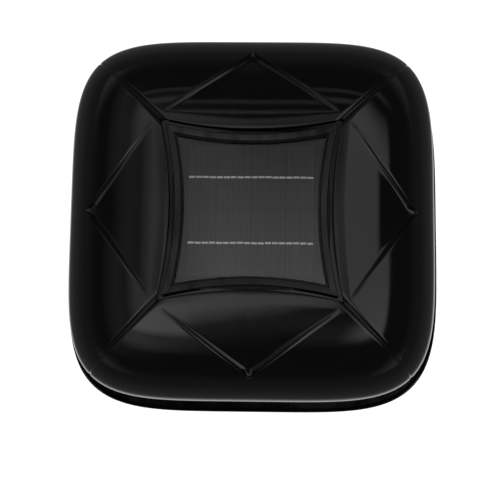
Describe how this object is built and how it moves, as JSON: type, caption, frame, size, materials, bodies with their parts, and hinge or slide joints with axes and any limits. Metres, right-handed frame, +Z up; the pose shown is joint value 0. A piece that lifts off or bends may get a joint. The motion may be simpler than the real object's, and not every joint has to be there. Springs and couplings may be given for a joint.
{
  "type": "solar attic fan",
  "caption": "Low square roof ventilator: a glossy moulded hood with a photovoltaic window over a brushless fan in a round roof throat.",
  "frame": {"origin": "centre of the underside of the roof gasket", "axes": "+Z up out of the roof, X and Y square to the hood's sides, -Y is the side nearest in the picture"},
  "size_m": [0.381, 0.381, 0.116],
  "materials": {
    "hood_plastic": "glossy black moulded ABS",
    "base_plastic": "black moulded ABS",
    "inner_plastic": "dark grey glass-filled nylon",
    "foam": "closed-cell foam",
    "rubber": "matt black rubber",
    "glass": "clear tempered glass",
    "silicon": "dark blue-grey crystalline silicon",
    "backsheet": "dark grey laminate",
    "galvanised_steel": "galvanised",
    "bright_steel": "bright machined steel",
    "aluminium": "cast",
    "copper": "enamelled copper wire",
    "dark_steel": "dark laminated steel",
    "circuit_board": "green solder mask"
  },
  "bodies": {
    "housing": {"base_flange": "base_plastic", "bezel_screw_1": "bright_steel", "bezel_screw_2": "bright_steel", "bezel_screw_3": "bright_steel", "bezel_screw_4": "bright_steel", "bracket_bush_1": "rubber", "bracket_bush_2": "rubber", "bracket_bush_3": "rubber", "bracket_bush_4": "rubber", "bracket_screw_1": "bright_steel", "bracket_screw_2": "bright_steel", "bracket_screw_3": "bright_steel", "bracket_screw_4": "bright_steel", "cell_string_lower": "silicon", "cell_string_upper": "silicon", "driver_board": "circuit_board", "hood_bolt_1": "bright_steel", "hood_bolt_2": "bright_steel", "hood_bolt_3": "bright_steel", "hood_bolt_4": "bright_steel", "hood_post_1": "inner_plastic", "hood_post_2": "inner_plastic", "hood_post_3": "inner_plastic", "hood_post_4": "inner_plastic", "hood_shell": "hood_plastic", "junction_box": "inner_plastic", "junction_box_lid": "inner_plastic", "lead_grommet": "rubber", "lower_bearing_outer_race": "bright_steel", "motor_bracket": "galvanised_steel", "motor_can": "aluminium", "motor_end_plate": "aluminium", "motor_lead": "rubber", "motor_screw_1": "bright_steel", "motor_screw_2": "bright_steel", "outlet_screen": "galvanised_steel", "panel_backsheet": "backsheet", "panel_bezel": "hood_plastic", "roof_gasket": "foam", "stator_coil_1": "copper", "stator_coil_2": "copper", "stator_coil_3": "copper", "stator_coil_4": "copper", "stator_coil_5": "copper", "stator_coil_6": "copper", "stator_core": "dark_steel", "upper_bearing_outer_race": "bright_steel", "window_glass": "glass", "window_seal": "rubber"},
    "rotor": {"impeller": "inner_plastic", "impeller_nut": "bright_steel", "motor_shaft": "bright_steel", "rotor_core": "bright_steel", "magnet_ring": "dark_steel", "lower_bearing_inner_race": "bright_steel", "upper_bearing_inner_race": "bright_steel"},
    "lower_cage": {"lower_bearing_cage": "copper"},
    "upper_cage": {"upper_bearing_cage": "copper"}
  },
  "joints": [
    {"name": "fan_spin", "type": "hinge", "parent": "housing", "child": "rotor", "pos_m": [0, 0, 0.03], "axis": [0, 0, 1], "continuous": true},
    {"name": "lower_cage_spin", "type": "hinge", "parent": "housing", "child": "lower_cage", "pos_m": [0, 0, 0.0509], "axis": [0, 0, 1], "continuous": true},
    {"name": "upper_cage_spin", "type": "hinge", "parent": "housing", "child": "upper_cage", "pos_m": [0, 0, 0.0857], "axis": [0, 0, 1], "continuous": true}
  ],
  "couplings": [
    {"joint": "lower_cage_spin", "follows": "fan_spin", "ratio": 0.368},
    {"joint": "upper_cage_spin", "follows": "fan_spin", "ratio": 0.368}
  ]
}
